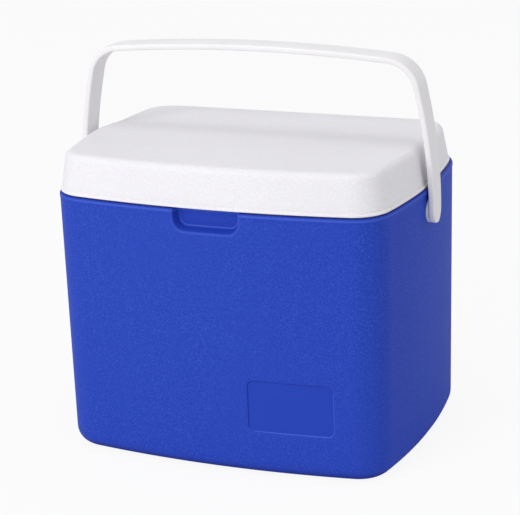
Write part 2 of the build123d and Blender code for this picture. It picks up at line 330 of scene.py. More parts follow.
def mouldedFinish(name, base, shade, roughness, scale, ripple):
    # plain moulded plastic or rubber: cloudy colour and a faint ripple
    finish = Finish(name)
    clouds = finish.noise(scale * moulded["cloudScale"], *moulded["cloudNoise"])
    fine = finish.noise(scale, *moulded["fineNoise"])
    color = finish.blendColor(clouds.between(*moulded["clouds"]), base, shade)
    level = roughness + fine * moulded["fineRough"] + clouds * moulded["cloudRough"]
    normal = finish.bump(fine + clouds * moulded["cloudHeight"], moulded["bump"], ripple)
    return finish.feed(Base_Color=color, Roughness=level, Normal=normal)


foam = dict(
    specular=0.25, broadScale=0.1, broadNoise=(4.0, 0.6), pores=(0.15, 0.6), stains=(0.3, 0.8),
    stainShare=0.3, broadHeight=0.6, bump=0.7, roughness=0.78, cellRough=0.15)


def foamFinish(name, base, pore, scale, ripple):
    # cells of a foam: dark pores between lighter walls
    finish = Finish(name, Specular_IOR_Level=foam["specular"])
    cells = finish.cells(scale)
    broad = finish.noise(scale * foam["broadScale"], *foam["broadNoise"])
    color = finish.blendColor(cells.between(*foam["pores"]), pore, base)
    color = finish.blendColor(broad.between(*foam["stains"]) * foam["stainShare"], color, pore)
    normal = finish.bump(cells + broad * foam["broadHeight"], foam["bump"], ripple)
    roughness = foam["roughness"] + cells * foam["cellRough"]
    return finish.feed(Base_Color=color, Roughness=roughness, Normal=normal)

# Shell: drafted bowed walls, round base edge, proud rim, finger recess and bare label panel
shell = dict(
    rimZ=250.0, draft=1.5 / 250.0, baseRound=16.0, baseSteps=9, wall=3.0, beadOut=0.4, beadFrom=243.0,
    beadHeight=3.5, rimRound=2.6, rimSteps=6, recessRimRound=1.0, recessSideShare=0.75, recessSideSteps=3,
    rowLimits=[(16.0, 39.5, 5), (39.5, 98.5, 26), (98.5, 225.0, 22), (225.0, 241.0, 8), (241.0, 247.0, 9)],
    insideHeights=[250.0, 246.0, 240.0, 234.0, 229.0, 227.0, 225.0, 223.0, 200.0, 150.0, 100.0, 50.0, 16.0],
    backFrom=223.0, backRise=4.0, backBend=1.5, backMargin=1.0,
    fingerHalf=31.0, fingerFloor=230.0, fingerRound=11.0, fingerMargin=5.0, fingerDepth=10.0,
    fingerProfile=[(2.4, 0.0), (1.6, 0.12), (0.9, 0.5), (0.35, 1.15), (0.0, 2.1), (-0.7, 4.8), (-1.4, 7.6),
                   (-1.8, 8.9), (-2.5, 9.7), (-3.6, 10.0)],
    labelX=74.0, labelZ=69.0, labelHalf=(40.0, 24.5), labelRound=6.0, labelMargin=5.0,
    labelProfile=[(0.5, 0.0), (0.3, 0.06), (0.12, 0.24), (-0.02, 0.48), (-0.18, 0.7), (-0.42, 0.8)],
    baseFlat=60.0, basePlugRound=17.1, basePlugDepth=1.6, plugChamfer=(0.4, 0.3), fillHole=11.1,
    creaseAngle=40,
)
# x places along half the front, then how many steps each stretch has; side: steps, y places, steps
shellStops = dict(
    front=spread(0, 29, 12) + spread(29, 36, 3)[1:] + spread(36, 119, 34)[1:], frontEnd=4,
    frontCorner=16, side=(22, [-8.0, 10.0], 22), rearCorner=20, rear=22)


shellLook = dict(
    base=rgb(0.014, 0.051, 0.450), raised=rgb(0.085, 0.18, 0.80), faded=rgb(0.020, 0.060, 0.485),
    specular=0.16, roughness=0.5, patchRough=0.06, pitRough=0.08, fadedPatches=(0.4, 0.75), fadedShare=0.5,
    grainHeight=0.00022, bump=0.55, pebbleHeight=0.8, pitHeight=0.35,
    tips=(0.42, 0.62), tipShare=0.22, sparks=(0.54, 0.72), sparkShare=0.42,
    # the lighter and darker edge colours here are painted highlight and painted shade
    paintedLightColor=rgb(0.10, 0.20, 0.78), paintedLightShare=0.45, paintedShadeColor=rgb(0.004, 0.016, 0.26), paintedShadeShare=0.6,
    frontFace=(-0.09, -0.1), smoothShare=0.8, labelSmooth=(-0.0012, 0.0), labelEdge=(-0.0001, 0.0007),
    labelLight=(-0.5, 0.7), fingerSmooth=(0.0008, 0.0024), fingerSmoothShare=0.6,
    # the fold and mouth lines on the next two lines are painted highlights
    foldEdge=(-0.0031, 0.0009), foldLight=(0.5, -0.3), foldSkew=0.5,
    mouthEdge=(0.0012, 0.0014), mouthLight=(-0.6, 0.2), mouthShare=0.5,
    # the rim line is a painted highlight; the rim and foot pairs place painted shade
    rimPaintedLight=(0.2476, 0.0013), rimPaintedLightShare=0.8, rimPaintedShade=(0.2489, 0.2497), footPaintedShade=(0.011, 0.0044),
)


def panelDistance(finish, middleX, middleZ, wide, tall, rounding):
    # how far a spot of the front lies outside a panel's rounded outline, and where it is from its middle
    across = (finish.x - middleX * mm) / (wide * mm)
    up = (finish.z - middleZ * mm) / (tall * mm)
    beyondX = (across.size() * (wide * mm) - (wide - rounding) * mm).most(0.0)
    beyondZ = (up.size() * (tall * mm) - (tall - rounding) * mm).most(0.0)
    return (beyondX * beyondX + beyondZ * beyondZ).root() - rounding * mm, across, up


def line(distance, middle, half):
    # 1 along a soft line at this distance from an outline
    return distance.between(middle - half, middle) * (1 - distance.between(middle, middle + half))


def shellFinish():
    look = shellLook
    finish = Finish("blueShell", Specular_IOR_Level=look["specular"])
    pebbles, pits, sparks, patches = pebbleGrain(finish)
    onFront = finish.y.between(*look["frontFace"])
    # the label panel is smooth; a painted highlight runs along its lower right edge and painted shade along
    # its upper left edge
    outline, across, up = panelDistance(
        finish, shell["labelX"], shell["labelZ"], *shell["labelHalf"], shell["labelRound"])
    smooth = (1 - outline.between(*look["labelSmooth"])) * onFront
    lowRight = (across - up).between(*look["labelLight"])
    edge = line(outline, *look["labelEdge"]) * onFront
    paintedLight, paintedShade = edge * lowRight, edge * (1 - lowRight)
    # the finger recess is smoother too, with painted highlights on its inner fold and along its mouth
    outline, across, up = panelDistance(
        finish, 0.0, shell["rimZ"], shell["fingerHalf"], shell["rimZ"] - shell["fingerFloor"],
        shell["fingerRound"])
    inFinger = (1 - outline.between(*look["fingerSmooth"])) * onFront
    smooth = smooth.most(inFinger * look["fingerSmoothShare"])
    foldSide = (up - across * look["foldSkew"]).between(*look["foldLight"])
    paintedLight = paintedLight.most(line(outline, *look["foldEdge"]) * onFront * foldSide)
    mouthSide = (0 - up).between(*look["mouthLight"])
    paintedLight = paintedLight.most(line(outline, *look["mouthEdge"]) * onFront * mouthSide * look["mouthShare"])
    # a painted highlight runs under the rim; painted shade darkens the rim's top and the foot of the walls
    paintedLight = paintedLight.most(line(finish.z, *look["rimPaintedLight"]) * look["rimPaintedLightShare"])
    paintedShade = paintedShade.most(finish.z.between(*look["rimPaintedShade"]))
    paintedShade = paintedShade.most(finish.z.between(*look["footPaintedShade"]))
    textured = 1 - smooth * look["smoothShare"]
    height = pebbles * look["pebbleHeight"] + pits * look["pitHeight"]
    # the lighter pebble tips and sparks are grain tone with painted glints
    tips = pebbles.between(*look["tips"]) * textured
    bright = sparks.between(*look["sparks"]) * textured * look["sparkShare"]
    glints = (tips * look["tipShare"] * pits + bright).least(1.0)
    color = finish.blendColor(glints, look["base"], look["raised"])
    faded = patches.between(*look["fadedPatches"]) * look["fadedShare"]
    color = finish.blendColor(faded, color, look["faded"])
    color = finish.blendColor(paintedShade * look["paintedShadeShare"], color, look["paintedShadeColor"])
    color = finish.blendColor(paintedLight * look["paintedLightShare"], color, look["paintedLightColor"])
    roughness = look["roughness"] + patches * look["patchRough"] + pits * look["pitRough"] * textured
    normal = finish.bump(height * textured, look["bump"], look["grainHeight"])
    return finish.feed(Base_Color=color, Roughness=roughness, Normal=normal)


def wallInset(z):
    proud = shell["beadOut"] * (1 - ease((z - shell["beadFrom"]) / shell["beadHeight"]))
    return shell["draft"] * (shell["rimZ"] - z) + proud


def frontY(x, z, inset=None):
    inset = wallInset(z) if inset is None else inset
    radius = plan["frontRadius"] - inset
    return radius - (plan["halfDepth"] - inset) - math.sqrt(radius ** 2 - x ** 2)


def sinkRings(skin, border, pull, profile, closed):
    # border: the wall's vertices round a hole; pull: where one of them goes on the outline at an offset
    spots = [(skin.points[v][0] / mm, skin.points[v][2] / mm) for v in border]
    rings = [border]
    for offset, depth in profile:
        moved = [pull(x, z, offset) for x, z in spots]
        rings.append([skin.point(x, frontY(x, z) + depth, z) for x, z in moved])
    skin.stack(rings, closed)
    return rings, list(zip(rings[-1], moved))


def fillPanel(skin, left, bottom, right, top, corners, depth):
    # each side: (vertex, (x, z)) pairs; left and right run upwards, bottom and top run to the right
    rows = []
    tall, long = len(left) - 1, len(bottom) - 1
    for i in range(tall + 1):
        v = i / tall
        row = []
        for j in range(long + 1):
            u = j / long
            if i == 0:
                row.append(bottom[j][0])
            elif j == 0:
                row.append(left[i][0])
            elif j == long:
                row.append(right[i][0])
            elif i == tall and top[j][0] is not None:
                row.append(top[j][0])
            else:
                spot = [
                    (1 - v) * bottom[j][1][k] + v * top[j][1][k]
                    + (1 - u) * left[i][1][k] + u * right[i][1][k]
                    - (1 - u) * (1 - v) * corners[0][k] - u * (1 - v) * corners[1][k]
                    - (1 - u) * v * corners[2][k] - u * v * corners[3][k]
                    for k in range(2)]
                row.append(skin.point(spot[0], frontY(*spot) + depth, spot[1]))
        rows.append(row)
    skin.stack(rows, closed=False)
    return rows


def makeShell():
    skin = Skin()
    heights = [shell["rowLimits"][0][0]]
    for low, high, steps in shell["rowLimits"]:
        heights += spread(low, high, steps)[1:]
    outlines = [planOutline(wallInset(z), shellStops) for z in heights]
    rows = [skin.ring([(p.x, p.y, z) for p in outline]) for outline, z in zip(outlines, heights)]
    count = len(rows[0])
    stopXs = shellStops["front"]

    def column(x):
        nearest = min(range(len(stopXs)), key=lambda i: abs(stopXs[i] - abs(x)))
        return nearest if x >= 0 else -nearest

    def row(z):
        return min(range(len(heights)), key=lambda i: abs(heights[i] - z))

    halfX, halfZ = shell["labelHalf"]
    margin = shell["labelMargin"]
    labelColumns = column(shell["labelX"] - halfX - margin), column(shell["labelX"] + halfX + margin)
    labelRows = row(shell["labelZ"] - halfZ - margin), row(shell["labelZ"] + halfZ + margin)
    fingerColumns = (column(-shell["fingerHalf"] - shell["fingerMargin"]),
                     column(shell["fingerHalf"] + shell["fingerMargin"]))
    fingerRows = row(shell["fingerFloor"] - shell["fingerMargin"]), len(heights) - 1

    def holed(i, j):
        signed = j if j < count / 2 else j - count
        for (low, high), (bottom, top) in ((labelColumns, labelRows), (fingerColumns, fingerRows)):
            if low <= signed < high and bottom <= i < top:
                return True
        return False

    for i in range(len(rows) - 1):
        for j in range(count):
            if not holed(i, j):
                k = (j + 1) % count
                skin.faces.append((rows[i][j], rows[i][k], rows[i + 1][k], rows[i + 1][j]))

    # label panel: its border runs anticlockwise from the lower left
    low, high = labelColumns
    bottom, top = labelRows
    border = [rows[bottom][j] for j in range(low, high)]
    border += [rows[i][high] for i in range(bottom, top)]
    border += [rows[top][j] for j in range(high, low, -1)]
    border += [rows[i][low] for i in range(top, bottom, -1)]
    coreX, coreZ = halfX - shell["labelRound"], halfZ - shell["labelRound"]

    def ontoLabel(x, z, offset):
        core = Vector((clamp(x - shell["labelX"], -coreX, coreX), clamp(z - shell["labelZ"], -coreZ, coreZ)))
        away = Vector((x - shell["labelX"], z - shell["labelZ"])) - core
        moved = core + away.normalized() * (shell["labelRound"] + offset)
        return shell["labelX"] + moved.x, shell["labelZ"] + moved.y

    _, last = sinkRings(skin, border, ontoLabel, shell["labelProfile"], True)
    last.append(last[0])
    wide, tall = high - low, top - bottom
    bottomSide = last[:wide + 1]
    rightSide = last[wide:wide + tall + 1]
    topSide = last[wide + tall:2 * wide + tall + 1][::-1]
    leftSide = last[2 * wide + tall:][::-1]
    corners = [bottomSide[0][1], bottomSide[-1][1], topSide[0][1], topSide[-1][1]]
    fillPanel(skin, leftSide, bottomSide, rightSide, topSide, corners, shell["labelProfile"][-1][1])

    # finger recess: its border runs down the left, along the bottom and up the right
    low, high = fingerColumns
    bottom, top = fingerRows
    border = [rows[i][low] for i in range(top, bottom, -1)]
    border += [rows[bottom][j] for j in range(low, high)]
    border += [rows[i][high] for i in range(bottom, top + 1)]
    coreX = shell["fingerHalf"] - shell["fingerRound"]
    coreZ = shell["fingerFloor"] + shell["fingerRound"]

    def ontoFinger(x, z, offset):
        core = Vector((clamp(x, -coreX, coreX), max(z, coreZ)))
        away = (Vector((x, z)) - core).normalized()
        return tuple(core + away * (shell["fingerRound"] + offset))

    rings, last = sinkRings(skin, border, ontoFinger, shell["fingerProfile"], False)
    tall, wide = top - bottom, high - low
    leftSide = last[:tall + 1][::-1]
    bottomSide = last[tall:tall + wide + 1]
    rightSide = last[tall + wide:]
    leftTop, rightTop = leftSide[-1][1], rightSide[-1][1]
    topSide = [(None, (x, leftTop[1])) for x in spread(leftTop[0], rightTop[0], wide)]
    corners = [bottomSide[0][1], bottomSide[-1][1], leftTop, rightTop]
    panel = fillPanel(skin, leftSide, bottomSide, rightSide, topSide, corners, shell["fingerDepth"])

    # the open top edge, from the middle of the recess round the box and back
    fold = [ring[-1] for ring in rings[:0:-1]]
    half = wide // 2
    edge = panel[-1][half:-1] + fold + rows[-1][high:count + low + 1] + [ring[0] for ring in rings[1:]]
    edge += panel[-1][1:half]
    folded = len(panel[-1][half:-1]) + len(fold)
    size = len(edge)
    flat = [Vector((skin.points[v][0] / mm, skin.points[v][1] / mm)) for v in edge]
    away = outwards(flat)
    rounds = []
    for i in range(size):
        inRecess = min(i, size - i) < folded
        nearSide = abs(min(i, size - i) - folded)
        if inRecess and nearSide > shell["recessSideSteps"]:
            rounds.append(shell["recessRimRound"])
        else:
            rounds.append(shell["rimRound"] * (shell["recessSideShare"] if inRecess else 1.0))
    rim = [edge]
    for angle in spread(0, 90, shell["rimSteps"]):
        lift, draw = math.sin(math.radians(angle)), 1 - math.cos(math.radians(angle))
        rim.append(skin.ring([
            (p.x - n.x * r * draw, p.y - n.y * r * draw, shell["rimZ"] - r + r * lift)
            for p, n, r in zip(flat, away, rounds)]))
    skin.stack(rim)

    # inside face, drawn back round the recess
    sideX = shell["fingerHalf"] + shell["wall"]
    bend = shell["backBend"]
    panelSteps = folded - len(fold)
    inner = []
    for i in range(size):
        near = min(i, size - i)
        sign = 1 if i <= size / 2 else -1
        if near < panelSteps:
            inner.append(sign * (sideX - bend) * near / panelSteps)
        elif near < folded:
            inner.append(sign * (sideX - bend + 2 * bend * (near - panelSteps) / len(fold)))
        else:
            inner.append(None)

    def insideRow(z, inset):
        outline = planOutline(inset, shellStops)
        points = []
        ahead = high
        for x in inner:
            if x is None:
                p = outline[ahead % count]
                ahead += 1
                points.append((p.x, p.y, z))
            else:
                behind = clamp((sideX + shell["backMargin"] - abs(x)) / bend)
                behind *= ease((z - shell["backFrom"]) / shell["backRise"])
                points.append((x, frontY(x, z, inset) + behind * shell["fingerDepth"], z))
        return skin.ring(points)

    inside = [
        insideRow(z, shell["wall"] + shell["draft"] * (shell["rimZ"] - z)) for z in shell["insideHeights"]]
    innerRound = shell["baseRound"] - shell["wall"]
    lowInset = shell["wall"] + shell["draft"] * shell["rimZ"]
    for angle in spread(0, 90, shell["rimSteps"])[1:]:
        draw = innerRound * (1 - math.cos(math.radians(angle)))
        z = shell["baseRound"] - innerRound * math.sin(math.radians(angle))
        inside.append(insideRow(z, lowInset + draw))
    skin.stack([rim[-1]] + inside)

    # outside base: round edge, flat underside, stepped seat of the filling hole
    base = [rows[0]]
    baseInset = wallInset(shell["baseRound"])
    for angle in spread(0, 90, shell["baseSteps"])[1:]:
        draw = shell["baseRound"] * (1 - math.cos(math.radians(angle)))
        z = shell["baseRound"] * (1 - math.sin(math.radians(angle)))
        base.append(skin.ring([(p.x, p.y, z) for p in planOutline(baseInset + draw, shellStops)]))
    flatRing = planOutline(baseInset + shell["baseRound"], shellStops)

    def circle(radius, z, outline):
        return skin.ring([(*(p.normalized() * radius), z) for p in outline])

    seat, chamfer = shell["basePlugRound"], shell["plugChamfer"]
    for radius, z in ((shell["baseFlat"], 0.0), (seat + chamfer[0], 0.0), (seat, chamfer[1]),
                      (seat, shell["basePlugDepth"]), (shell["fillHole"], shell["basePlugDepth"]),
                      (shell["fillHole"], shell["wall"])):
        base.append(circle(radius, z, flatRing))
    skin.stack(base[::-1])
    insideFlat = [Vector(skin.points[v][:2]) for v in inside[-1]]
    hole = circle(shell["fillHole"], shell["wall"], insideFlat)
    skin.stack([inside[-1], hole])
    return skin.finish("boxShell", shellFinish(), shell["creaseAngle"])


boxShell = makeShell()
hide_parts("outer_shell")
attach(boxShell, "carrier_body")
print("shell:", len(boxShell.data.polygons), "faces")

# Lid: sloping walls, faint shoulders beside the handle's arms, raised front, S-shaped fall, rolled rear
lid = dict(
    lowZ=251.0, slopeTopZ=292.0, inset=2.2, sideSlope=7.2, endSlope=6.0, frontZ=288.0, middleZ=284.5,
    stepStart=-12.0, stepLength=50.0,
    shoulderY=-20.0, shoulderLength=22.0, shoulderFoot=1.5, shoulderHead=2.4, shoulderSoft=0.07,
    rollY=82.0, rollRadius=155.0, edgeRound=7.0, centreRounds=3, wallSteps=7, roundSteps=8, wall=2.5,
    lining=[(251.0, 0.0), (254.0, 0.0)], creaseAngle=45,
    lip=[(251.0, 0.45), (251.2, 0.7), (251.6, 0.8), (252.5, 0.8), (252.9, 0.68), (253.15, 0.4), (253.25, 0.0),
         (253.5, -0.28), (253.9, -0.3), (254.3, -0.12), (254.8, 0.0)],
)
lidStops = dict(
    front=spread(0, 120, 32), frontEnd=3, frontCorner=16,
    side=(20, spread(-24, -16, 14) + spread(-16, -3, 5)[1:] + spread(-3, 7, 12)[1:], 24),
    rearCorner=24, rear=31)


lidLook = dict(
    base=rgb(0.832, 0.822, 0.852), raised=rgb(0.94, 0.935, 0.95), dusk=rgb(0.812, 0.802, 0.837),
    specular=0.3, roughness=0.48, patchRough=0.08, pitRough=0.06, duskPatches=(0.35, 0.75), duskShare=0.5,
    grainHeight=0.00024, bump=0.5, pebbleHeight=0.8, pitHeight=0.4,
    tips=(0.35, 0.65), tipShare=0.6, sparks=(0.5, 0.68), sparkShare=0.65,
)


def lidFinish():
    look = lidLook
    finish = Finish("whiteLid", Specular_IOR_Level=look["specular"])
    pebbles, pits, sparks, patches = pebbleGrain(finish)
    # the lighter pebble tips and sparks are grain tone with painted glints
    tips = pebbles.between(*look["tips"]) * pits * look["tipShare"]
    glints = (tips + sparks.between(*look["sparks"]) * look["sparkShare"]).least(1.0)
    color = finish.blendColor(glints, look["base"], look["raised"])
    dusk = patches.between(*look["duskPatches"]) * look["duskShare"]
    color = finish.blendColor(dusk, color, look["dusk"])
    roughness = look["roughness"] + patches * look["patchRough"] + pits * look["pitRough"]
    height = pebbles * look["pebbleHeight"] + pits * look["pitHeight"]
    normal = finish.bump(height, look["bump"], look["grainHeight"])
    return finish.feed(Base_Color=color, Roughness=roughness, Normal=normal)


def lidTop(y, lower):
    # the step falls along two parabolas, one after the other, and the rear rolls down on an arc
    along = clamp((y - lid["stepStart"]) / lid["stepLength"])
    fall = 2 * along ** 2 if along < 0.5 else 1 - 2 * (1 - along) ** 2
    roll = max(y - lid["rollY"], 0.0)
    sink = lid["rollRadius"] - math.sqrt(lid["rollRadius"] ** 2 - roll ** 2)
    return lid["frontZ"] - lower + (lid["middleZ"] - lid["frontZ"]) * fall - sink


def lidSides(inset):
    # the walls' outline at the bottom and at the slope's top, with the shoulders blended in
    inset += lid["inset"]
    low = planOutline(inset, lidStops)
    high = planOutline(inset, lidStops, lid["sideSlope"], lid["endSlope"], lid["endSlope"])
    narrowLow = planOutline(inset, lidStops, lid["shoulderFoot"])
    narrowHigh = planOutline(
        inset, lidStops, lid["sideSlope"] + lid["shoulderHead"], lid["endSlope"], lid["endSlope"])

    def shoulder(y):
        along = (y - lid["shoulderY"]) / lid["shoulderLength"]
        soft = lid["shoulderSoft"]
        if abs(along) < soft:
            return (along + soft) ** 2 / (4 * soft)
        if abs(along - 1) < soft:
            return 1 - (1 + soft - along) ** 2 / (4 * soft)
        return clamp(along)

    low = [a.lerp(b, shoulder(a.y)) for a, b in zip(low, narrowLow)]
    high = [a.lerp(b, shoulder(a.y)) for a, b in zip(high, narrowHigh)]
    return low, high


def makeLidForm(skin, inset, lower, lowRings):
    low, high = lidSides(inset)
    away = outwards(low)
    slopeHeight = lid["slopeTopZ"] - lid["lowZ"]
    count = len(low)
    rings = []

    def wallPoint(i, z):
        return low[i].lerp(high[i], (z - lid["lowZ"]) / slopeHeight)

    for z, out in lowRings:
        points = [wallPoint(i, z) + away[i] * out for i in range(count)]
        rings.append(skin.ring([(p.x, p.y, z) for p in points]))
    radius = lid["edgeRound"] - inset
    lastZ = lowRings[-1][0]
    starts = []
    for i in range(count):
        lean = high[i] - low[i]
        slope = lean.length / slopeHeight
        inward = lean.normalized()
        # the rounding's centre lies its radius below the top, which falls to the rear; a few rounds find it
        middle = low[i] + inward * (lid["endSlope"] + radius)
        for _ in range(lid["centreRounds"]):
            topZ = lidTop(middle.y, lower)
            fall = math.atan(lidTop(middle.y + inward.y, lower) - topZ)
            centreZ = topZ - radius / math.cos(fall)
            reach = slope * (centreZ - lid["lowZ"]) + radius * math.sqrt(1 + slope ** 2)
            middle = low[i] + inward * reach
        starts.append((inward, slope, middle, centreZ, math.pi / 2 - max(fall, 0.0)))
    for step in range(1, lid["wallSteps"]):
        share = step / lid["wallSteps"]
        points = []
        for i, (_, slope, _, centreZ, _) in enumerate(starts):
            touchZ = centreZ + radius * math.sin(math.atan(slope))
            z = lastZ + (touchZ - lastZ) * share
            p = wallPoint(i, z)
            points.append((p.x, p.y, z))
        rings.append(skin.ring(points))
    for step in range(lid["roundSteps"] + 1):
        points = []
        for inward, slope, middle, centreZ, last in starts:
            tilt = math.atan(slope)
            angle = tilt + (last - tilt) * step / lid["roundSteps"]
            p = middle - inward * radius * math.cos(angle)
            points.append((p.x, p.y, centreZ + radius * math.sin(angle)))
        rings.append(skin.ring(points))
    skin.stack(rings)
    skin.fillOutline(rings[-1], lidStops, lambda p: lidTop(p.y, lower))
    return rings[0]


def makeLid():
    skin = Skin()
    outer = makeLidForm(skin, 0.0, 0.0, lid["lip"])
    marker = len(skin.faces)
    inner = makeLidForm(skin, lid["wall"], lid["wall"], lid["lining"])
    skin.faces[marker:] = [face[::-1] for face in skin.faces[marker:]]
    skin.strip(inner, outer)
    return skin.finish("lidCover", lidFinish(), lid["creaseAngle"])


lidCover = makeLid()
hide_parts("lid_cover")
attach(lidCover, "lid")
print("lid:", len(lidCover.data.polygons), "faces")

# Handle: crowned strap bent into a bail, rounded tongues, studs that turn in the bushes
handle = dict(
    pivotY=-8.0, pivotZ=229.0, strap=6.3, width=26.6, tongueWidth=24.0, tongueX=177.4, wideningHeight=100.0,
    crown=0.7, crownPower=1.35, crownWidth=8, crownSteps=12, flatSteps=8,
    edgeRound=1.7, edgeShare=0.8, edgeSteps=5, creaseAngle=50,
    tipRises=[0.04, 0.2, 0.5, 1.0, 1.7, 2.6, 3.8, 5.2, 6.8, 8.6, 10.4, 12.0],
    bendZ=230.0, bendRadius=480.0, lean=12.0, cornerRadius=34.5, turnSteps=26,
    barRadius=1560.0, barSlope=4.9, barSteps=22,
    studRadius=6.0, studTip=156.8, studSunk=0.6, studSides=48,
    collar=[(0.0, 1.0), (0.7, 0.9), (1.3, 0.25), (1.6, 0.0)], studEnd=[(1.0, 0.0), (0.3, 0.3), (0.0, 1.0)],
)


handleLook = dict(
    base=rgb(0.89, 0.88, 0.89), shade=rgb(0.84, 0.83, 0.84), flow=(26.0, 3.0, 0.6), haze=(420.0, 2.0, 0.5),
    shadeFlow=(0.35, 0.7), shadeShare=0.6, roughness=0.34, flowRough=0.1, hazeRough=0.05,
    ripple=0.00006, bump=0.35, flowHeight=0.6, hazeHeight=0.25)


def handleFinish():
    look = handleLook
    finish = Finish("whiteHandle")
    flow = finish.noise(*look["flow"])
    haze = finish.noise(*look["haze"])
    shade = flow.between(*look["shadeFlow"]) * look["shadeShare"]
    color = finish.blendColor(shade, look["base"], look["shade"])
    roughness = look["roughness"] + flow * look["flowRough"] + haze * look["hazeRough"]
    height = flow * look["flowHeight"] + haze * look["hazeHeight"]
    normal = finish.bump(height, look["bump"], look["ripple"])
    return finish.feed(Base_Color=color, Roughness=roughness, Normal=normal)


def handlePath():
    # middle line of the strap from the right tip up to the middle of the bar: x, z, heading from vertical
    middle = handle["tongueX"] - handle["strap"] / 2
    bend = handle["bendRadius"] - handle["strap"] / 2
    corner = handle["cornerRadius"] - handle["strap"] / 2
    bar = handle["barRadius"] - handle["strap"] / 2
    lean, slope = math.radians(handle["lean"]), math.radians(handle["barSlope"])
    tipZ = handle["pivotZ"] - handle["tongueWidth"] / 2
    path = [(middle, tipZ + rise, 0.0) for rise in handle["tipRises"]]
    path += [(middle - bend * (1 - math.cos(a)), handle["bendZ"] + bend * math.sin(a), a)
             for a in spread(0, lean, handle["turnSteps"])]
    bendX, bendEnd, _ = path[-1]
    barEndX = bar * math.sin(slope)
    cornerX = barEndX + corner * (math.cos(lean) - math.sin(slope))
    cornerZ = bendEnd + (bendX - cornerX) / math.tan(lean)
    path.append(((bendX + cornerX) / 2, (bendEnd + cornerZ) / 2, lean))
    centreX, centreZ = cornerX - corner * math.cos(lean), cornerZ - corner * math.sin(lean)
    path += [(centreX + corner * math.cos(a), centreZ + corner * math.sin(a), a)
             for a in spread(lean, math.pi / 2 - slope, handle["turnSteps"])]
    barEndZ = path[-1][1]
    barCentreZ = barEndZ - bar * math.cos(slope)
    path += [(bar * math.sin(a), barCentreZ + bar * math.cos(a), math.pi / 2 - a)
             for a in spread(slope, 0.0, handle["barSteps"])[1:]]
    return path


def strapSection(halfWide, halfThick):
    # outward and sideways offsets, once round: inner face, edges, crowned outer face
    soft = min(handle["edgeRound"], halfWide * handle["edgeShare"], halfThick * handle["edgeShare"])
    crown = handle["crown"] * min(1.0, halfWide / handle["crownWidth"])
    flatSteps, crownSteps = handle["flatSteps"], handle["crownSteps"]
    shape = [
        (-halfThick, -halfWide + soft + 2 * (halfWide - soft) * k / flatSteps) for k in range(1, flatSteps)]

    def corner(signOut, signSide, start, end):
        lower = crown if signOut > 0 else 0.0
        centreOut, centreSide = signOut * (halfThick - soft) - lower, signSide * (halfWide - soft)
        angles = [math.radians(a) for a in spread(start, end, handle["edgeSteps"])]
        return [(centreOut + soft * math.cos(a), centreSide + soft * math.sin(a)) for a in angles]

    shape += corner(-1, 1, 180, 90) + corner(1, 1, 90, 0)
    for k in range(1, crownSteps):
        side = 1 - 2 * k / crownSteps
        rise = crown * (1 - abs(side) ** handle["crownPower"])
        shape.append((halfThick - crown + rise, side * (halfWide - soft)))
    shape += corner(1, -1, 0, -90) + corner(-1, -1, -90, -180)
    return shape[::-1]


def makeHandle():
    skin = Skin()
    half = handlePath()
    tip = handle["pivotZ"] - handle["tongueWidth"] / 2
    tongue = handle["tongueWidth"] / 2
    rings = []
    for x, z, heading in half + [(-x, z, math.pi - heading) for x, z, heading in half[-2::-1]]:
        below = max(0.0, handle["pivotZ"] - z)
        wide = math.sqrt(max(tongue ** 2 - below ** 2, 0.0))
        if below == 0.0:
            widening = clamp((z - handle["pivotZ"]) / handle["wideningHeight"])
            wide = tongue + (handle["width"] / 2 - tongue) * widening
        soft = handle["edgeRound"]
        nearTip = clamp((z - tip) / soft)
        thick = handle["strap"] / 2 - soft * (1 - math.sqrt(1 - (1 - nearTip) ** 2))
        outX, outZ = math.cos(heading), math.sin(heading)
        rings.append(skin.ring([
            (x + out * outX, handle["pivotY"] + side, z + out * outZ)
            for out, side in strapSection(wide, thick)]))
    skin.stack(rings)
    skin.faces.append(tuple(rings[0][::-1]))
    skin.faces.append(tuple(rings[-1]))
    inner = handle["tongueX"] - handle["strap"] + handle["studSunk"]
    radius = handle["studRadius"]
    profile = [(inner - along, radius + wider) for along, wider in handle["collar"]]
    profile += [(handle["studTip"] + along, radius - slimmer) for along, slimmer in handle["studEnd"]]
    for sign in (1, -1):
        stud = []
        for x, reach in profile:
            stud.append(skin.ring([
                (sign * x, handle["pivotY"] + reach * math.cos(a), handle["pivotZ"] + reach * math.sin(a))
                for a in spread(0, -sign * 2 * math.pi, handle["studSides"])[:-1]]))
        skin.stack(stud)
        skin.faces.append(tuple(stud[-1]))
        skin.faces.append(tuple(stud[0][::-1]))
    return skin.finish("bailHandle", handleFinish(), handle["creaseAngle"])


bailHandle = makeHandle()
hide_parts("handle")
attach(bailHandle, "bail")
print("handle:", len(bailHandle.data.polygons), "faces")

# Foam pad under the lid's plug: soft edges, a slight swell, crossed slits that hold vials
pad = dict(
    inset=37.0, corners=(20.0, 24.0), edge=4.0, edgeSteps=5, swell=0.3, wallSteps=6, creaseAngle=50,
    slitLength=14.0, slitWidth=1.0, slitDepth=15.0, slitAbove=2, slitTurns=(45, 135),
    slitXs=[-90.0, -45.0, 0.0, 45.0, 90.0], slitYs=[-45.0, 0.0, 45.0],
)
padStops = dict(
    front=spread(0, 70, 14), frontEnd=6, frontCorner=10, side=(8, [0.0, 10.0], 10), rearCorner=10, rear=20)
padMaterial = foamFinish(
    "softFoam", base=rgb(0.24, 0.26, 0.30), pore=rgb(0.08, 0.09, 0.11), scale=1100.0, ripple=0.0005)


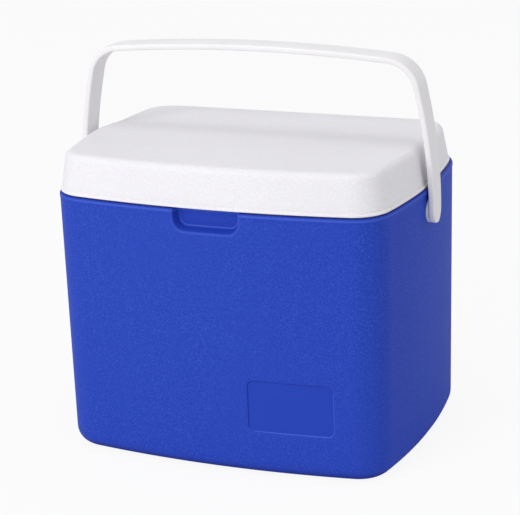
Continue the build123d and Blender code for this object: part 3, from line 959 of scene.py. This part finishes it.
def padCutters(top):
    # thin boxes for the slits, all in one mesh
    skin = Skin()
    levels = top - pad["slitDepth"], top + pad["slitAbove"]
    for x in pad["slitXs"]:
        for y in pad["slitYs"]:
            for turn in pad["slitTurns"]:
                angle = math.radians(turn)
                long = Vector((math.cos(angle), math.sin(angle))) * pad["slitLength"] / 2
                wide = Vector((-long.y, long.x)).normalized() * pad["slitWidth"] / 2
                middle = Vector((x, y))
                slit = [middle + a * long + b * wide for a, b in ((-1, -1), (1, -1), (1, 1), (-1, 1))]
                rings = [skin.ring([(p.x, p.y, z) for p in slit]) for z in levels]
                skin.stack(rings)
                skin.faces += [tuple(rings[0][::-1]), tuple(rings[1])]
    return skin.finish("padSlits", padMaterial)


def makePad():
    low, high = (corner.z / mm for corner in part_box("foam_pad"))
    skin = Skin()
    rings = []

    def level(z, draw):
        corners = [radius - draw for radius in pad["corners"]]
        outline = planOutline(pad["inset"] + draw, padStops, corners=corners)
        rings.append(skin.ring([(p.x, p.y, z) for p in outline]))

    edge = pad["edge"]
    for angle in spread(0, 90, pad["edgeSteps"]):
        away = math.radians(angle)
        level(low + edge * (1 - math.cos(away)), edge * (1 - math.sin(away)))
    for step in spread(0, 1, pad["wallSteps"])[1:-1]:
        level(low + edge + (high - low - 2 * edge) * step, pad["swell"] * (1 - math.sin(math.pi * step)))
    for angle in spread(90, 0, pad["edgeSteps"]):
        away = math.radians(angle)
        level(high - edge * (1 - math.cos(away)), edge * (1 - math.sin(away)))
    skin.stack(rings)
    skin.fillOutline(rings[-1], padStops, lambda p: high)
    marker = len(skin.faces)
    skin.fillOutline(rings[0], padStops, lambda p: low)
    skin.faces[marker:] = [face[::-1] for face in skin.faces[marker:]]
    piece = skin.finish("foamPad", padMaterial)
    cutter = padCutters(high)
    cut = piece.modifiers.new("slits", "BOOLEAN")
    cut.operation = "DIFFERENCE"
    cut.solver = "EXACT"
    cut.use_self = True
    cut.object = cutter
    graph = bpy.context.evaluated_depsgraph_get()
    mesh = bpy.data.meshes.new_from_object(piece.evaluated_get(graph))
    piece.modifiers.clear()
    piece.data = mesh
    mesh.set_sharp_from_angle(angle=math.radians(pad["creaseAngle"]))
    bpy.data.objects.remove(cutter)
    return piece


foamPad = makePad()
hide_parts("foam_pad")
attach(foamPad, "lid")
print("pad:", len(foamPad.data.polygons), "faces")

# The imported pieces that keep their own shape, by how their names start; a cap is named before its pack
linerMaterial = mouldedFinish(
    "whiteLiner", base=rgb(0.84, 0.84, 0.85), shade=rgb(0.79, 0.79, 0.81), roughness=0.26, scale=500.0,
    ripple=0.00004)
bushMaterial = mouldedFinish(
    "whiteBush", base=rgb(0.80, 0.80, 0.82), shade=rgb(0.74, 0.74, 0.76), roughness=0.38, scale=800.0,
    ripple=0.00004)
plugMaterial = mouldedFinish(
    "bluePlug", base=rgb(0.025, 0.05, 0.40), shade=rgb(0.02, 0.04, 0.33), roughness=0.42, scale=800.0,
    ripple=0.00006)
gasketMaterial = mouldedFinish(
    "greySeal", base=rgb(0.55, 0.55, 0.56), shade=rgb(0.46, 0.46, 0.47), roughness=0.62, scale=1500.0,
    ripple=0.00008)
packMaterial = mouldedFinish(
    "packPlastic", base=rgb(0.60, 0.74, 0.86), shade=rgb(0.50, 0.66, 0.82), roughness=0.24, scale=300.0,
    ripple=0.00010)
capMaterial = mouldedFinish(
    "packCap", base=rgb(0.74, 0.77, 0.80), shade=rgb(0.66, 0.70, 0.74), roughness=0.35, scale=900.0,
    ripple=0.00005)
insulationMaterial = foamFinish(
    "rigidFoam", base=rgb(0.80, 0.70, 0.42), pore=rgb(0.58, 0.46, 0.22), scale=900.0, ripple=0.0003)

nodeFinishes = {
    "inner_liner": linerMaterial, "lid_liner": linerMaterial, "pivot_bush": bushMaterial,
    "base_fill_plug": plugMaterial, "lid_fill_plug": plugMaterial, "lid_gasket": gasketMaterial,
    "body_insulation": insulationMaterial, "lid_insulation": insulationMaterial,
    "ice_pack_cap": capMaterial, "ice_pack": packMaterial,
}
for name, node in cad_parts.items():
    for start, material in nodeFinishes.items():
        if name.startswith(start):
            for holder in node.material_slots:
                holder.material = material
            break
print("finished nodes:", sum(bool(n.material_slots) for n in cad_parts.values()))

# Studio: pale floor that keeps a soft shadow, even soft light, white behind
studio = dict(
    floorSize=14.0, floorCells=8, floorColor=rgb(0.86, 0.86, 0.86), floorShade=rgb(0.84, 0.84, 0.85),
    floorClouds=(3.0, 2.0, 0.5), floorCloudShare=0.2, floorRoughness=0.9, floorSpecular=0.1, floorLift=0.9,
    ambient=(0.985, 0.975, 1.0), ambientLevel=0.56, lampAim=(0.0, 0.0, 0.17),
    lamps=[("keyLamp", (-1.1, -2.6, 1.5), 1.4, 36.2), ("sideLamp", (2.5, 0.5, 1.6), 1.2, 5.0),
           ("topLamp", (0.2, -0.6, 2.6), 1.6, 9.5)],
)


def makeFloor():
    size = studio["floorSize"] / 2 / mm
    skin = Skin()
    grid = spread(-size, size, studio["floorCells"])
    rows = [skin.ring([(x, y, 0.0) for x in grid]) for y in grid]
    skin.stack(rows, closed=False)
    finish = Finish(
        "paleFloor", Roughness=studio["floorRoughness"], Specular_IOR_Level=studio["floorSpecular"])
    cloud = finish.noise(*studio["floorClouds"]) * studio["floorCloudShare"]
    finish.feed(Base_Color=finish.blendColor(cloud, studio["floorColor"], studio["floorShade"]))
    # the eye sees the floor lifted towards white, the rest of the scene sees it as it is
    seen = finish.node("ShaderNodeLightPath", {}, {}, "Is Camera Ray")
    white = finish.node("ShaderNodeEmission", {}, {"Color": rgb(1, 1, 1), "Strength": 1.0})
    mix = finish.node("ShaderNodeMixShader", {}, {0: seen * studio["floorLift"], 1: finish.surface, 2: white})
    output = next(n for n in finish.tree.nodes if n.type == "OUTPUT_MATERIAL")
    finish.tree.links.new(mix.socket, output.inputs["Surface"])
    floor = skin.finish("studioFloor", finish.material)


def makeWorld():
    world = bpy.data.worlds.new("studioWorld")
    graph = Graph(world)
    soft = graph.node(
        "ShaderNodeBackground", {}, {"Color": rgb(*studio["ambient"]), "Strength": studio["ambientLevel"]})
    white = graph.node("ShaderNodeBackground", {}, {"Color": rgb(1, 1, 1), "Strength": 1.0})
    # what is seen directly, mirrored or through glass is plain white, the object is lit by the soft level
    rays = graph.node("ShaderNodeLightPath", {}, {}).socket.node.outputs
    names = "Is Camera Ray", "Is Glossy Ray", "Is Transmission Ray"
    camera, glossy, through = (Wire(graph, rays[name]) for name in names)
    seen = camera.most(glossy).most(through)
    mix = graph.node("ShaderNodeMixShader", {}, {0: seen, 1: soft, 2: white})
    graph.node("ShaderNodeOutputWorld", {}, {"Surface": mix})
    bpy.context.scene.world = world


def makeLamps():
    for name, place, size, power in studio["lamps"]:
        lamp = bpy.data.lights.new(name, "AREA")
        lamp.shape = "DISK"
        lamp.size = size
        lamp.energy = power
        holder = bpy.data.objects.new(name, lamp)
        holder.location = place
        facing = Vector(studio["lampAim"]) - Vector(place)
        holder.rotation_euler = facing.to_track_quat("-Z", "Y").to_euler()
        bpy.context.scene.collection.objects.link(holder)


view = dict(
    azimuth=21.98, elevation=17.96, roll=-1.99, distance=1.72975, target=(-0.01003, 0.01914, 0.15848),
    lens=123.35, sensorWidth=36.0)


def makeCamera():
    azimuth, elevation, roll = (math.radians(view[key]) for key in ("azimuth", "elevation", "roll"))
    level = math.cos(elevation)
    back = Vector((math.sin(azimuth) * level, -math.cos(azimuth) * level, math.sin(elevation)))
    right = Vector((math.cos(azimuth), math.sin(azimuth), 0.0))
    up = back.cross(right)
    tiltedRight = right * math.cos(roll) + up * math.sin(roll)
    tiltedUp = up * math.cos(roll) - right * math.sin(roll)
    place = Vector(view["target"]) + back * view["distance"]
    lens = bpy.data.cameras.new("eye")
    lens.lens = view["lens"]
    lens.sensor_width = view["sensorWidth"]
    lens.sensor_fit = "HORIZONTAL"
    eye = bpy.data.objects.new("eye", lens)
    turn = Matrix((tiltedRight, tiltedUp, back)).transposed()
    eye.matrix_world = Matrix.Translation(place) @ turn.to_4x4()
    bpy.context.scene.collection.objects.link(eye)
    bpy.context.scene.camera = eye


makeFloor()
makeWorld()
makeLamps()
makeCamera()
bpy.context.scene.view_settings.view_transform = "Standard"
print("studio set")
